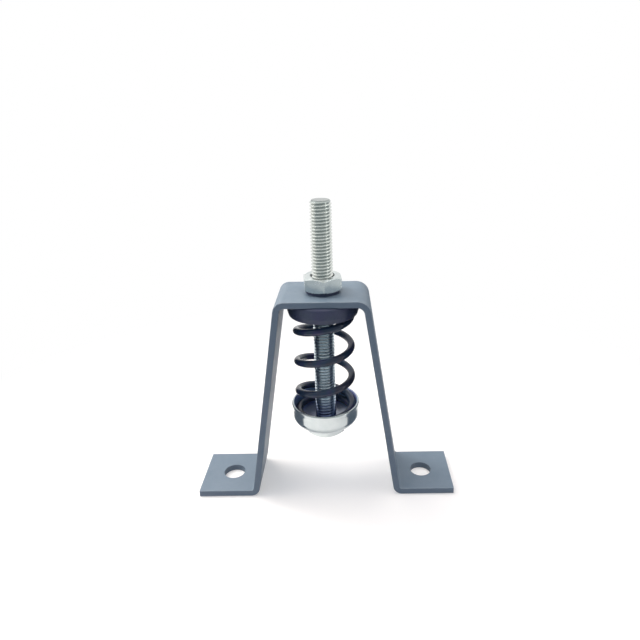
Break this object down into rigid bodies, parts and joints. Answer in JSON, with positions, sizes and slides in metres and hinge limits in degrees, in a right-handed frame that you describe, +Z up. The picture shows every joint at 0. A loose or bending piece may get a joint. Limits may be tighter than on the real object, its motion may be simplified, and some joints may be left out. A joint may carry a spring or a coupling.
{
  "type": "spring vibration isolator hanger",
  "caption": "Spring vibration isolator: a folded steel bracket with bolt-down feet, a coil spring between a rubber seat and a pressed cup, and a threaded hanger bolt with a nut.",
  "frame": {"origin": "on the underside of the feet, below the axis of the bolt", "axes": "+Z up along the bolt towards its free end, +X along the bracket from foot to foot, +Y across the strip"},
  "size_m": [0.124, 0.0336, 0.143],
  "materials": {
    "bracket_paint": "satin blue-grey paint over folded flat bar",
    "rubber": "smooth moulded rubber, blue-black",
    "spring_coating": "semi-gloss black coating",
    "zinc_sheet": "bright zinc plating on pressed sheet",
    "zinc_fastener": "bright zinc plating on a rolled thread"
  },
  "bodies": {
    "bracket": {"bracket": "bracket_paint", "rubber_seat": "rubber", "spring": "spring_coating"},
    "cup": {"spring_cup": "zinc_sheet"},
    "bolt": {"hanger_bolt": "zinc_fastener"},
    "nut": {"top_nut": "zinc_fastener"}
  },
  "joints": [
    {"name": "cup_slide", "type": "slide", "parent": "bracket", "child": "cup", "axis": [0, 0, 1], "range_m": [0, 0.025], "stiffness_N_per_m": 24200, "deforming": ["spring"]},
    {"name": "bolt_turn", "type": "hinge", "parent": "cup", "child": "bolt", "pos_m": [0, 0, 0.0326], "axis": [0, 0, -1], "range_deg": [0, 7200]},
    {"name": "nut_travel", "type": "slide", "parent": "cup", "child": "nut", "axis": [0, 0, 1], "range_m": [0, 0.03]}
  ],
  "couplings": [
    {"joint": "nut_travel", "follows": "bolt_turn", "m_per_rad": 0.00023873}
  ]
}
